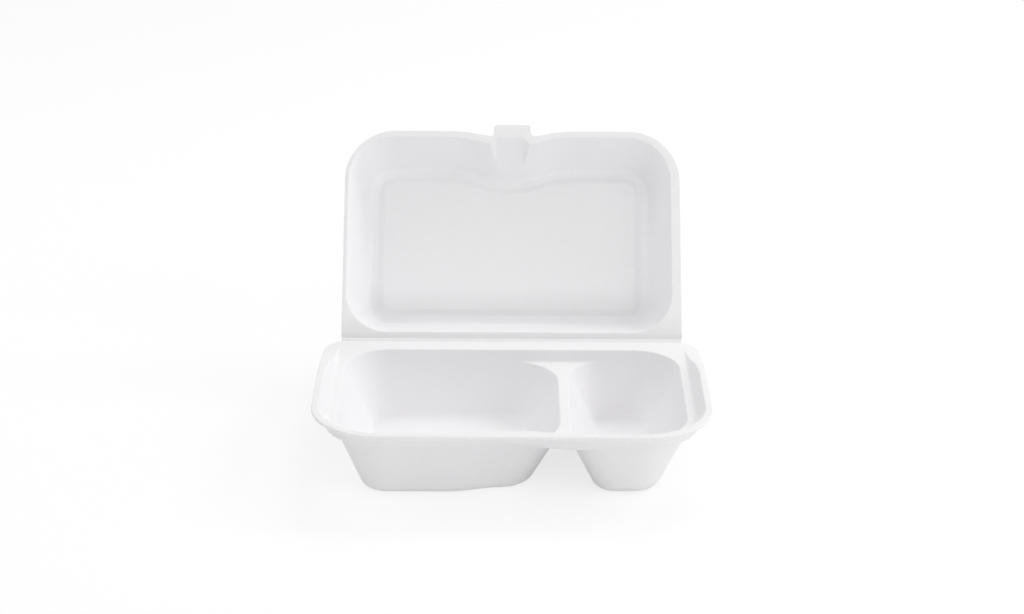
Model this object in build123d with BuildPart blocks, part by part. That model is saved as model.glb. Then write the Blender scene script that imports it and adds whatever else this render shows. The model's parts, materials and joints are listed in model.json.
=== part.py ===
"""Two-compartment foam clamshell meal box, formed from one sheet, lid standing open on its crease."""

import os
from math import cos, radians, sqrt, tan

from build123d import *

# Lid, in its own frame: hinge line at zero, front edge towards minus Y, pocket towards plus Z
lid_width = 220.4
lid_reach = 143.2
lid_corner_radius = 33.5
lid_heel_radius = 2.0
lid_gauge = 1.5
lid_flange = 4.4
lid_heel_flange = 6.0
lid_pocket_depth = 30.0
lid_pocket_heel_radius = 26.5
lid_draft = 24.0
lid_floor_fillet = 2.5
lid_open_angle = 128.0
trim_offset = 1.8

# Raised panel in the lid's floor
panel_band = 5.2
panel_step = 1.7
panel_step_run = 3.8

# Tab on the lid's front edge, and the channel in the wall behind it
tab_width = 24.2
tab_length = 9.1
tab_tip_radius = 2.5
tab_root_radius = 3.0
channel_floor_width = 18.0
channel_cheek = 7.4
channel_throat = 8.0
channel_setback = 0.1
channel_depth_share = 0.75

# Inward bow in the middle of every front edge
wave_half_width = 42.0
wave_depth = 4.6
wave_draft = 3.5
lid_wave_draft = 4.5
mouth_wave_depth = 5.6

# Seat of the lid in the base
seat_clearance = 0.4
seat_gap = 0.3

# Base tray
base_gauge = 2.7
hinge_height = 43.0
hinge_flange = 14.0
ledge_width = 5.0
side_draft = 23.3
end_draft = 15.5
rear_draft = 18.5
small_side_draft = 26.0
well_corner_share = 0.2532
well_floor_fillet = 3.0
large_foot_fillet = 6.0
small_foot_fillet = 9.0

# Divider between the large and the small compartment
divider_share = 0.293
divider_top_width = 6.5
divider_drop = 7.2
divider_gauge = 1.5
divider_large_draft = 30.0
divider_small_draft = 27.0
divider_large_corner_share = 0.262
divider_small_corner_share = 0.1989

# Flare and flat rim above the ledge
flare_rise = 8.0
flare_side_run = 5.4
flare_front_run = 7.3
flare_wall = 2.4
rim_gauge = 2.0
skirt_drop = 4.0
rim_side_strip = 4.2
rim_front_strip = 4.2
rim_front_radius = 42.0
rim_heel_radius = 17.0
ramp_foot = 6.0
ramp_length = 64.0

# Slit for the tab in the front flare, with a nick at each end
slit_side_room = 3.6
slit_top_room = 0.5
nick_width = 1.2
nick_reach = 1.2

# Crease bead on the hinge line, and the slope beside it in the lid
bead_radius = 1.3
bead_inset = 0.6
crease_reach = 4.6
crease_depth = 0.95

# Overrun of cuts past the faces they open
overrun = 3.0

# Places worked out from the sizes above
half_lid = lid_width / 2
lid_dip = -lid_reach + wave_depth
half_ledge = half_lid + seat_clearance
half_rim = half_ledge + flare_side_run + rim_side_strip
base_depth = lid_reach + seat_clearance + flare_front_run + rim_front_strip
hinge_y = base_depth / 2
rim_front = -base_depth / 2
ledge_front = hinge_y - lid_reach - seat_clearance
ledge_z = hinge_height
rim_z = ledge_z + flare_rise
divider_x = divider_share * half_ledge
divider_z = ledge_z - divider_drop
saddle_z = divider_z - divider_gauge
corner_draft = (side_draft + end_draft) / 2
well_corner_radius = well_corner_share * half_ledge
divider_large_radius = divider_large_corner_share * half_ledge
divider_small_radius = divider_small_corner_share * half_ledge
slit_width = tab_width + 2 * slit_side_room
slit_height = seat_gap + lid_gauge + slit_top_room
slit_reach = tab_length + flare_wall
flare_lip = ledge_front + wave_depth - flare_front_run
nick_length = flare_front_run + nick_reach + overrun
nick_height = flare_rise + overrun
channel_root = lid_dip + channel_setback
channel_depth = channel_depth_share * lid_pocket_depth
lid_heel = -sqrt((bead_radius + seat_gap) ** 2 - (seat_gap + crease_depth) ** 2)

# Frames of the lid and its pocket, turned open about the hinge line, with the side plane and outward axis
lid_plane = Plane.XY.offset(ledge_z).move(Location((0, hinge_y, 0))).rotated((-lid_open_angle, 0, 0))
pocket_plane = lid_plane.moved(Location((-trim_offset, 0, 0)))
lid_side = Plane(origin=lid_plane.origin, x_dir=lid_plane.y_dir, z_dir=lid_plane.x_dir)
lid_axis = Axis(lid_plane.origin, lid_plane.z_dir)


def run(height, draft):
    """Sideways travel of a wall over a height at a draft angle from upright."""
    return height * tan(radians(draft))


def spread(gauge, draft):
    """Level thickness of a drafted wall."""
    return gauge / cos(radians(draft))


def bowed_outline(plane, half_width, rear, front, rear_radius, front_radius, bow_depth):
    """Rounded outline whose front edge bows inward in the middle."""
    flank = front + bow_depth / 2
    with BuildSketch(plane) as outline:
        with BuildLine():
            Polyline(
                (-wave_half_width, front),
                (-half_width, front),
                (-half_width, rear),
                (half_width, rear),
                (half_width, front),
                (wave_half_width, front),
            )
            TangentArc((-wave_half_width, front), (-wave_half_width / 2, flank), tangent=(1, 0))
            ThreePointArc(
                (-wave_half_width / 2, flank),
                (0, front + bow_depth),
                (wave_half_width / 2, flank),
            )
            TangentArc((wave_half_width, front), (wave_half_width / 2, flank), tangent=(-1, 0))
        make_face()
        if rear_radius:
            fillet(outline.vertices().group_by(Axis.Y)[-1], rear_radius)
        front_points = outline.vertices().group_by(Axis.Y)[0].sort_by(Axis.X)
        fillet([front_points[0], front_points[-1]], front_radius)
    return outline.sketch


def well_sizes(level, grow):
    """Half width, rear, front and corner radius of the wells at a level, grown by a wall."""
    depth = ledge_z - level
    half_width = half_ledge - ledge_width - run(depth, side_draft) + spread(grow, side_draft)
    rear = hinge_y - hinge_flange - run(depth, rear_draft) + spread(grow, rear_draft)
    front = ledge_front + ledge_width + run(depth, end_draft) - spread(grow, end_draft)
    radius = well_corner_radius - run(depth, corner_draft) + grow
    return half_width, rear, front, radius


def divider_half(level, grow, draft):
    """Half width of the divider on one side at a level, less the wall."""
    return divider_top_width / 2 + run(divider_z - level, draft) - spread(grow, draft)


def divider_radius(level, grow, top_radius):
    """Corner radius of a well beside the divider, from its radius at the divider's top."""
    return top_radius - run(divider_z - level, corner_draft) + grow


def upper_outline(level, grow):
    """Outline of the space above the divider, shared by both wells."""
    half_width, rear, front, radius = well_sizes(level, grow)
    return bowed_outline(Plane.XY.offset(level), half_width, rear, front, radius, radius, wave_depth)


def large_outline(level, grow):
    """Outline of the large well, whose front edge carries the bow as far as the divider."""
    half_width, rear, front, radius = well_sizes(level, grow)
    right = divider_x - divider_half(level, grow, divider_large_draft)
    bow_depth = wave_depth + run(divider_z - level, wave_draft)
    bow_radius = ((wave_half_width / 2) ** 2 + (bow_depth / 2) ** 2) / bow_depth
    bow = front + bow_depth
    bow_end = bow - bow_radius + sqrt(bow_radius**2 - right**2)
    with BuildSketch(Plane.XY.offset(level)) as outline:
        with BuildLine():
            Polyline(
                (-wave_half_width, front),
                (-half_width, front),
                (-half_width, rear),
                (right, rear),
                (right, bow_end),
            )
            TangentArc(
                (-wave_half_width, front),
                (-wave_half_width / 2, front + bow_depth / 2),
                tangent=(1, 0),
            )
            ThreePointArc(
                (-wave_half_width / 2, front + bow_depth / 2),
                (0, bow),
                (right, bow_end),
            )
        make_face()
        fillet(outline.vertices().group_by(Axis.X)[0], radius)
        inner_radius = divider_radius(level, grow, divider_large_radius)
        fillet(outline.vertices().group_by(Axis.X)[-1], inner_radius)
    return outline.sketch


def small_outline(level, grow):
    """Outline of the small well, whose right wall leans out more than the wall above it."""
    top = saddle_z if grow else divider_z
    right = well_sizes(top, grow)[0] - run(top - level, small_side_draft)
    left = divider_x + divider_half(level, grow, divider_small_draft)
    _, rear, front, radius = well_sizes(level, grow)
    with BuildSketch(Plane.XY.offset(level)) as outline:
        with BuildLine():
            Polyline(
                (left, front),
                (right, front),
                (right, rear),
                (left, rear),
                close=True,
            )
        make_face()
        fillet(outline.vertices().group_by(Axis.X)[-1], radius)
        inner_radius = divider_radius(level, grow, divider_small_radius)
        fillet(outline.vertices().group_by(Axis.X)[0], inner_radius)
    return outline.sketch


def flare_outline(level, grow, rear):
    """Outline of the flare at a level, spreading upward from the ledge's outer edge."""
    rise_share = (level - ledge_z) / flare_rise
    side_run = flare_side_run * rise_share
    front_run = flare_front_run * rise_share
    half_width = half_ledge + side_run + grow
    front = ledge_front - front_run - grow
    radius = lid_corner_radius + seat_clearance + side_run + grow
    return bowed_outline(Plane.XY.offset(level), half_width, rear, front, 0, radius, wave_depth)


def rim_outline():
    """Outer outline of the rim."""
    with BuildSketch(Plane.XY.offset(ledge_z - skirt_drop - overrun)) as outline:
        with Locations((0, (hinge_y + rim_front) / 2)):
            Rectangle(2 * half_rim, base_depth)
        fillet(outline.vertices().group_by(Axis.Y)[-1], rim_heel_radius)
        fillet(outline.vertices().group_by(Axis.Y)[0], rim_front_radius)
    return outline.sketch


def roof_profile(thickness):
    """Side profile of the rim: flat in front, ramping down to the ledge before the hinge."""
    ramp_end = hinge_y - ramp_foot
    ramp_middle = ramp_end - ramp_length / 2
    ramp_start = ramp_end - ramp_length
    middle_z = ledge_z + flare_rise / 2
    with BuildSketch(Plane.YZ) as profile:
        with BuildLine():
            for drop in (0, thickness):
                Line((rim_front, rim_z - drop), (ramp_start, rim_z - drop))
                TangentArc(
                    (ramp_start, rim_z - drop), (ramp_middle, middle_z - drop), tangent=(1, 0)
                )
                TangentArc(
                    (ramp_end, ledge_z - drop), (ramp_middle, middle_z - drop), tangent=(-1, 0)
                )
                Line((ramp_end, ledge_z - drop), (hinge_y, ledge_z - drop))
            Line((rim_front, rim_z), (rim_front, rim_z - thickness))
            Line((hinge_y, ledge_z), (hinge_y, ledge_z - thickness))
        make_face()
    return profile.sketch


def pocket_outline(depth, inward):
    """Outline of the lid's pocket at a depth, set inward from the mouth all round."""
    inset = lid_flange + inward
    return bowed_outline(
        pocket_plane.offset(seat_gap + depth),
        half_lid - inset,
        -lid_heel_flange - inward,
        -lid_reach + inset,
        lid_pocket_heel_radius - inward,
        lid_corner_radius - inset,
        mouth_wave_depth + run(depth, lid_wave_draft),
    )


def channel_outline(depth, grow):
    """Outline of the channel behind the tab at a depth, its cheeks spreading towards the pocket."""
    bow = mouth_wave_depth + run(channel_depth, lid_wave_draft)
    wall = -lid_reach + lid_flange + run(channel_depth, lid_draft) + bow
    root = channel_root + (wall - channel_root) * depth / channel_depth - grow
    floor_half = channel_floor_width / 2 + grow
    with BuildSketch(pocket_plane.offset(seat_gap + depth)) as outline:
        with BuildLine():
            Polyline(
                (-floor_half, root),
                (floor_half, root),
                (floor_half + channel_cheek, root + channel_throat),
                (-floor_half - channel_cheek, root + channel_throat),
                close=True,
            )
        make_face()
    return outline.sketch


def panel_frustum(depth):
    """Block that raises the lid's panel from its floor, at a depth."""
    inward = run(lid_pocket_depth, lid_draft) + panel_band
    return loft(
        [
            pocket_outline(depth + overrun, inward),
            pocket_outline(depth, inward),
            pocket_outline(depth - panel_step, inward + panel_step_run),
        ],
        ruled=True,
        mode=Mode.SUBTRACT,
    )


# Spaces of the wells, and the outsides of their walls
with BuildPart() as large_space:
    loft([large_outline(base_gauge, 0), large_outline(divider_z, 0)], ruled=True)
    fillet(large_space.edges().group_by(Axis.Z)[0], well_floor_fillet)

with BuildPart() as small_space:
    loft([small_outline(base_gauge, 0), small_outline(divider_z, 0)], ruled=True)
    fillet(small_space.edges().group_by(Axis.Z)[0], well_floor_fillet)

with BuildPart() as large_outside:
    loft([large_outline(0, base_gauge), large_outline(saddle_z, base_gauge)], ruled=True)
    fillet(large_outside.edges().group_by(Axis.Z)[0], large_foot_fillet)

with BuildPart() as small_outside:
    loft([small_outline(0, base_gauge), small_outline(saddle_z, base_gauge)], ruled=True)
    fillet(small_outside.edges().group_by(Axis.Z)[0], small_foot_fillet)

# Flare block up to the ramped rim, with the skirt below the ledge
with BuildPart() as flare_outside:
    loft(
        [
            flare_outline(ledge_z, flare_wall, hinge_y),
            flare_outline(rim_z, flare_wall, hinge_y),
        ],
        ruled=True,
    )
    extrude(flare_outline(ledge_z, flare_wall, hinge_y), amount=-skirt_drop)
    extrude(roof_profile(flare_rise + skirt_drop), amount=half_rim, both=True, mode=Mode.INTERSECT)
    extrude(rim_outline(), amount=flare_rise + skirt_drop + 2 * overrun, mode=Mode.INTERSECT)

# Flat rim strip, cut to the outer outline
with BuildPart() as rim_plate:
    extrude(roof_profile(rim_gauge), amount=half_rim, both=True)
    extrude(rim_outline(), amount=flare_rise + skirt_drop + 2 * overrun, mode=Mode.INTERSECT)

with BuildPart() as base_tray:
    add(flare_outside.part)
    add(rim_plate.part)
    loft([upper_outline(saddle_z, base_gauge), upper_outline(ledge_z, base_gauge)], ruled=True)
    add(large_outside.part)
    add(small_outside.part)
    loft(
        [
            flare_outline(ledge_z, 0, hinge_y + overrun),
            flare_outline(rim_z + overrun, 0, hinge_y + overrun),
        ],
        ruled=True,
        mode=Mode.SUBTRACT,
    )
    loft(
        [upper_outline(divider_z, 0), upper_outline(ledge_z, 0)],
        ruled=True,
        mode=Mode.SUBTRACT,
    )
    add(large_space.part, mode=Mode.SUBTRACT)
    add(small_space.part, mode=Mode.SUBTRACT)
    with Locations((0, ledge_front + wave_depth - slit_reach / 2, ledge_z + slit_height / 2)):
        Box(slit_width, slit_reach, slit_height, mode=Mode.SUBTRACT)
    with Locations((0, flare_lip + nick_length / 2 - nick_reach, ledge_z + nick_height / 2)):
        with GridLocations(slit_width, 0, 2, 1):
            Box(nick_width, nick_length, nick_height, mode=Mode.SUBTRACT)
    with Locations((0, hinge_y, ledge_z)):
        Cylinder(bead_radius, 2 * (half_lid - bead_inset), rotation=(0, 90, 0))
base_tray.part.label = "base_tray"

# Space inside the lid's pocket
pocket_run = run(lid_pocket_depth, lid_draft)
with BuildPart() as lid_space:
    loft([pocket_outline(0, 0), pocket_outline(lid_pocket_depth, pocket_run)], ruled=True)
    fillet(lid_space.edges().group_by(lid_axis)[-1], lid_floor_fillet)
    panel_frustum(lid_pocket_depth)

# Outside of the lid's pocket
lid_wall = spread(lid_gauge, lid_draft)
lid_outside_depth = lid_pocket_depth + lid_gauge
with BuildPart() as lid_outside:
    loft(
        [
            pocket_outline(0, -lid_wall),
            pocket_outline(lid_outside_depth, run(lid_outside_depth, lid_draft) - lid_wall),
        ],
        ruled=True,
    )
    fillet(lid_outside.edges().group_by(lid_axis)[-1], lid_floor_fillet + lid_gauge)
    panel_frustum(lid_outside_depth)

with BuildPart() as lid:
    with BuildSketch(lid_plane.offset(seat_gap)) as flange:
        add(
            bowed_outline(
                Plane.XY,
                half_lid,
                lid_heel,
                -lid_reach,
                lid_heel_radius,
                lid_corner_radius,
                wave_depth,
            )
        )
        with Locations((0, lid_dip - tab_length / 2 + overrun / 2)):
            Rectangle(tab_width, tab_length + overrun)
        fillet(flange.vertices().group_by(Axis.Y)[0], tab_tip_radius)
        for side in (-1, 1):
            fillet(flange.vertices().sort_by_distance((side * tab_width / 2, lid_dip))[0], tab_root_radius)
    extrude(amount=lid_gauge)
    add(lid_outside.part)
    loft([channel_outline(0, lid_wall), channel_outline(channel_depth, lid_wall)], ruled=True)
    add(lid_space.part, mode=Mode.SUBTRACT)
    loft(
        [channel_outline(0, 0), channel_outline(channel_depth, 0)],
        ruled=True,
        mode=Mode.SUBTRACT,
    )
    with BuildSketch(lid_side) as crease:
        with BuildLine():
            Polyline(
                (-crease_reach, seat_gap),
                (lid_heel, seat_gap + crease_depth),
                (lid_heel + overrun, seat_gap + crease_depth),
                (lid_heel + overrun, seat_gap - overrun),
                (-crease_reach, seat_gap - overrun),
                close=True,
            )
        make_face()
    extrude(amount=half_lid, both=True, mode=Mode.SUBTRACT)
lid.part.label = "lid"

os.makedirs("parts", exist_ok=True)
export_step(base_tray.part, "parts/base_tray.step")
export_step(lid.part, "parts/lid.step")
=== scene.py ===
"""Looks of the open foam clamshell box: softened foam over the CAD frame, studio light and the camera."""

import json
import math

import bmesh
import bpy
from mathutils import Matrix, Vector


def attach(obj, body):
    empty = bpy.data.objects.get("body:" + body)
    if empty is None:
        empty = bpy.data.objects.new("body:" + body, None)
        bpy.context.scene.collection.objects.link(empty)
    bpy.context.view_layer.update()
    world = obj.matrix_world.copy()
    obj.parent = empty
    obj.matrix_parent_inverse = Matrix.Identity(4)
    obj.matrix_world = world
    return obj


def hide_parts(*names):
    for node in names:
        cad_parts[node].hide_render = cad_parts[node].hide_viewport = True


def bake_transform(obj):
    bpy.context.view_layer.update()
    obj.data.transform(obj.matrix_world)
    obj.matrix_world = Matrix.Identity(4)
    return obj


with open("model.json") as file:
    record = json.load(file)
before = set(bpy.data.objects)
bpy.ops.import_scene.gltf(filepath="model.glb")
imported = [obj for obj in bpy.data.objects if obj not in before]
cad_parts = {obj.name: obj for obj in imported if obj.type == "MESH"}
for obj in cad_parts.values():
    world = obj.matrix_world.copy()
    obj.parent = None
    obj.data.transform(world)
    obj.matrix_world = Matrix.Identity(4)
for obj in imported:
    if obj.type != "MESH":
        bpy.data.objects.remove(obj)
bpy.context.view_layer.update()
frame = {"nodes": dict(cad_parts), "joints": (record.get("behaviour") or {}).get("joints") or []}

MM = 0.001
HINGE = Vector(frame["joints"][0]["pos_m"])

# Foam shells: voxel size of the remesh, weld, smoothing, and the most triangles a shell keeps
VOXEL = {"base_tray": 0.5 * MM, "lid": 0.34 * MM}
WELD_DISTANCE = 0.002 * MM
SMOOTH_FACTOR = 0.5
SMOOTH_PASSES = 5
SHELL_TRIANGLES = 150000

# Fold of foam at the crease: radii and angles about the hinge line, half length, divisions round and along
WEB_INNER, WEB_OUTER = 1.2 * MM, 1.7 * MM
WEB_FIRST, WEB_LAST = math.radians(-88), math.radians(2)
WEB_HALF_LENGTH = 108.5 * MM
WEB_STEPS, WEB_SPANS = 24, 36

# Foam skin: two near-whites that mottle it, gloss, and the bumps of its cells and skin
FOAM_DULL, FOAM_BRIGHT = (0.9, 0.892, 0.903, 1), (0.917, 0.909, 0.92, 1)
MOTTLE_SCALE, MOTTLE_DETAIL = 420.0, 4.0
MOTTLE_LOW, MOTTLE_HIGH = 0.3, 0.7
SPECULAR_LEVEL = 0.35
ROUGH_LOW, ROUGH_HIGH = 0.42, 0.6
CELL_SCALE = 1400.0
BUMP_STRENGTH = 0.12
CELL_BUMP, SKIN_BUMP = 0.08 * MM, 0.12 * MM

# Floor and world: white to the camera, plain light on the box
WHITE = (1, 1, 1, 1)
FLOOR_HALF = 6
FLOOR_COLOR = (0.93, 0.93, 0.93, 1)
FLOOR_GLOW = 1.06
FLOOR_GLOW_SHARE = 0.7
WORLD_LIGHT, WORLD_WHITE = 0.37, 1.0

# Soft boxes: place, aim, width, height and power in watts
AIM = (0, 0.08, 0.05)
LAMPS = {
    "back_top": ((0.5, 1.2, 1.7), AIM, 1.0, 1.0, 9.4),
    "key_back": ((1.45, 0.5, 1.25), AIM, 0.5, 0.5, 5.6),
    "key_front": ((1.5, -0.7, 1.1), AIM, 0.9, 0.9, 5.0),
    "right_low": ((1.9, 0.1, 0.45), AIM, 0.9, 0.9, 3.5),
    "left_top": ((-1.2, 0.2, 1.4), AIM, 1.0, 1.0, 6.2),
    "front_top": ((0.2, -1.2, 1.6), AIM, 1.2, 1.2, 4.9),
    "top": ((0.1, 0.1, 2.1), AIM, 1.4, 1.4, 1.5),
    "front_low": ((0.1, -1.3, 0.03), (0.1, 0, 0.03), 1.6, 0.06, 2.8),
}

# Camera at the photograph's angle, fitted to the rim, hinge, lid and foot lines
PHOTO_WIDTH = 1024
SENSOR_WIDTH = 36
FOCAL_PIXELS = 2268.7
AIM_PIXELS = 33.81
RANGE = 1.46517
RAY_RISE = math.radians(24.06)
AIM_RISE = math.atan2(AIM_PIXELS, FOCAL_PIXELS)
YAW = math.radians(0.16)
ROLL = math.radians(0.33)


def new_object(name, data):
    """A new object in the scene."""
    made = bpy.data.objects.new(name, data)
    bpy.context.scene.collection.objects.link(made)
    return made


def apply_modifiers(piece):
    """Turns a piece's modifiers into its mesh."""
    graph = bpy.context.evaluated_depsgraph_get()
    mesh = bpy.data.meshes.new_from_object(piece.evaluated_get(graph))
    piece.modifiers.clear()
    old = piece.data
    piece.data = mesh
    bpy.data.meshes.remove(old)


def foam_shell(name, node, body):
    """A shell over a CAD node with every edge softened, as formed foam has."""
    mesh = frame["nodes"][node].data.copy()
    welded = bmesh.new()
    welded.from_mesh(mesh)
    bmesh.ops.remove_doubles(welded, verts=welded.verts, dist=WELD_DISTANCE)
    welded.to_mesh(mesh)
    welded.free()
    mesh.materials.clear()
    shell = new_object(name, mesh)
    remesh = shell.modifiers.new("remesh", "REMESH")
    remesh.mode = "VOXEL"
    remesh.voxel_size = VOXEL[node]
    apply_modifiers(shell)
    smooth = shell.modifiers.new("smooth", "SMOOTH")
    smooth.factor = SMOOTH_FACTOR
    smooth.iterations = SMOOTH_PASSES
    apply_modifiers(shell)
    triangles = sum(len(face.vertices) - 2 for face in shell.data.polygons)
    if triangles > SHELL_TRIANGLES:
        thin = shell.modifiers.new("thin", "DECIMATE")
        thin.ratio = SHELL_TRIANGLES / triangles
        apply_modifiers(shell)
    shell.data.shade_smooth()
    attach(shell, body)
    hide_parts(node)
    return shell


def crease_web():
    """The thin fold of foam that joins the lid to the tray behind the crease bead."""
    turn = (WEB_LAST - WEB_FIRST) / WEB_STEPS
    ring = [(WEB_OUTER, WEB_FIRST + turn * step) for step in range(WEB_STEPS + 1)]
    ring += [(WEB_INNER, WEB_LAST - turn * step) for step in range(WEB_STEPS + 1)]
    count = len(ring)
    points, faces = [], []
    for span in range(WEB_SPANS + 1):
        across = -WEB_HALF_LENGTH + 2 * WEB_HALF_LENGTH * span / WEB_SPANS
        for radius, angle in ring:
            points.append((across, HINGE.y + radius * math.cos(angle), HINGE.z + radius * math.sin(angle)))
    for low in range(0, WEB_SPANS * count, count):
        high = low + count
        for spot in range(count):
            after = (spot + 1) % count
            faces.append((low + spot, low + after, high + after, high + spot))
    faces.append(tuple(reversed(range(count))))
    faces.append(tuple(range(WEB_SPANS * count, (WEB_SPANS + 1) * count)))
    mesh = bpy.data.meshes.new("crease_web")
    mesh.from_pydata(points, [], faces)
    facing = bmesh.new()
    facing.from_mesh(mesh)
    bmesh.ops.recalc_face_normals(facing, faces=facing.faces)
    facing.to_mesh(mesh)
    facing.free()
    web = new_object("crease_web", mesh)
    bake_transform(web)
    return web


def new_material(name):
    """A new node material and its node tree."""
    material = bpy.data.materials.new(name)
    material.use_nodes = True
    return material, material.node_tree


def new_node(tree, kind, **values):
    """A new node, with constants on its sockets; an underscore in a socket's name stands for a space."""
    node = tree.nodes.new(kind)
    for socket, value in values.items():
        node.inputs[socket.replace("_", " ")].default_value = value
    return node


def foam_material():
    """White formed polystyrene foam: a soft, faintly mottled skin over fine cells."""
    material, tree = new_material("foam")
    shader = tree.nodes["Principled BSDF"]
    shader.inputs["Specular IOR Level"].default_value = SPECULAR_LEVEL
    place = new_node(tree, "ShaderNodeTexCoord")
    cells = new_node(tree, "ShaderNodeTexVoronoi", Scale=CELL_SCALE)
    mottle = new_node(tree, "ShaderNodeTexNoise", Scale=MOTTLE_SCALE, Detail=MOTTLE_DETAIL)
    for texture in (cells, mottle):
        tree.links.new(place.outputs["Object"], texture.inputs["Vector"])

    tint = new_node(tree, "ShaderNodeValToRGB")
    dull, bright = tint.color_ramp.elements
    dull.position, dull.color = MOTTLE_LOW, FOAM_DULL
    bright.position, bright.color = MOTTLE_HIGH, FOAM_BRIGHT
    tree.links.new(mottle.outputs["Fac"], tint.inputs["Fac"])
    tree.links.new(tint.outputs["Color"], shader.inputs["Base Color"])

    gloss = new_node(tree, "ShaderNodeMapRange", To_Min=ROUGH_LOW, To_Max=ROUGH_HIGH)
    tree.links.new(mottle.outputs["Fac"], gloss.inputs["Value"])
    tree.links.new(gloss.outputs["Result"], shader.inputs["Roughness"])

    cell_bump = new_node(tree, "ShaderNodeBump", Strength=BUMP_STRENGTH, Distance=CELL_BUMP)
    skin_bump = new_node(tree, "ShaderNodeBump", Strength=BUMP_STRENGTH, Distance=SKIN_BUMP)
    tree.links.new(cells.outputs["Distance"], cell_bump.inputs["Height"])
    tree.links.new(mottle.outputs["Fac"], skin_bump.inputs["Height"])
    tree.links.new(cell_bump.outputs["Normal"], skin_bump.inputs["Normal"])
    tree.links.new(skin_bump.outputs["Normal"], shader.inputs["Normal"])
    return material


def seen_rays(tree):
    """One for rays that carry a picture of what they hit, nought for rays that only carry light."""
    path = tree.nodes.new("ShaderNodeLightPath")
    total = path.outputs["Is Camera Ray"]
    for kind in ("Is Glossy Ray", "Is Transmission Ray"):
        join = tree.nodes.new("ShaderNodeMath")
        join.operation = "MAXIMUM"
        tree.links.new(total, join.inputs[0])
        tree.links.new(path.outputs[kind], join.inputs[1])
        total = join.outputs["Value"]
    return total


def floor_material():
    """Pale floor that mixes its lit surface with white, so that little but the box's shadow shows on it."""
    material, tree = new_material("floor")
    tree.nodes.clear()
    out = new_node(tree, "ShaderNodeOutputMaterial")
    plain = new_node(tree, "ShaderNodeBsdfDiffuse", Color=FLOOR_COLOR)
    glow = new_node(tree, "ShaderNodeEmission", Strength=FLOOR_GLOW)
    part = new_node(tree, "ShaderNodeMath")
    part.operation = "MULTIPLY"
    part.inputs[1].default_value = FLOOR_GLOW_SHARE
    pick = new_node(tree, "ShaderNodeMixShader")
    tree.links.new(seen_rays(tree), part.inputs[0])
    tree.links.new(part.outputs["Value"], pick.inputs["Fac"])
    tree.links.new(plain.outputs["BSDF"], pick.inputs[1])
    tree.links.new(glow.outputs["Emission"], pick.inputs[2])
    tree.links.new(pick.outputs["Shader"], out.inputs["Surface"])
    return material


def studio_world():
    """Even studio light on the box, and plain white behind it."""
    world = bpy.data.worlds.new("studio")
    world.use_nodes = True
    tree = world.node_tree
    tree.nodes.clear()
    out = new_node(tree, "ShaderNodeOutputWorld")
    light = new_node(tree, "ShaderNodeBackground", Strength=WORLD_LIGHT, Color=WHITE)
    white = new_node(tree, "ShaderNodeBackground", Strength=WORLD_WHITE, Color=WHITE)
    pick = new_node(tree, "ShaderNodeMixShader")
    tree.links.new(seen_rays(tree), pick.inputs["Fac"])
    tree.links.new(light.outputs["Background"], pick.inputs[1])
    tree.links.new(white.outputs["Background"], pick.inputs[2])
    tree.links.new(pick.outputs["Shader"], out.inputs["Surface"])
    return world


def lamp(name, place, aim, width, height, power):
    """A soft box that points at a place."""
    light = bpy.data.lights.new(name, "AREA")
    light.shape = "RECTANGLE"
    light.size = width
    light.size_y = height
    light.energy = power
    made = new_object(name, light)
    made.location = place
    made.rotation_euler = (Vector(aim) - Vector(place)).to_track_quat("-Z", "Y").to_euler()
    return made


foam = foam_material()
tray_shell = foam_shell("tray_shell", "base_tray", "base")
lid_shell = foam_shell("lid_shell", "lid", "cover")
web = crease_web()
for shell in (tray_shell, lid_shell, web):
    shell.data.materials.append(foam)

floor_corners = [(-FLOOR_HALF, -FLOOR_HALF, 0), (FLOOR_HALF, -FLOOR_HALF, 0)]
floor_corners += [(FLOOR_HALF, FLOOR_HALF, 0), (-FLOOR_HALF, FLOOR_HALF, 0)]
floor_mesh = bpy.data.meshes.new("floor")
floor_mesh.from_pydata(floor_corners, [], [(0, 1, 2, 3)])
floor = new_object("floor", floor_mesh)
floor.data.materials.append(floor_material())

bpy.context.scene.world = studio_world()
for name, settings in LAMPS.items():
    lamp(name, *settings)

camera_data = bpy.data.cameras.new("camera")
camera_data.sensor_fit = "HORIZONTAL"
camera_data.sensor_width = SENSOR_WIDTH
camera_data.lens = FOCAL_PIXELS / PHOTO_WIDTH * SENSOR_WIDTH
camera = new_object("camera", camera_data)
back = Vector((0, -math.cos(RAY_RISE), math.sin(RAY_RISE)))
turn = Matrix.Rotation(-YAW, 3, "Z")
tilt = Matrix.Rotation(math.pi / 2 - RAY_RISE + AIM_RISE, 3, "X")
camera.matrix_world = Matrix.Translation(HINGE + turn @ back * RANGE) @ (
    turn @ tilt @ Matrix.Rotation(ROLL, 3, "Z")
).to_4x4()
bpy.context.scene.camera = camera

bpy.context.scene.view_settings.view_transform = "Standard"
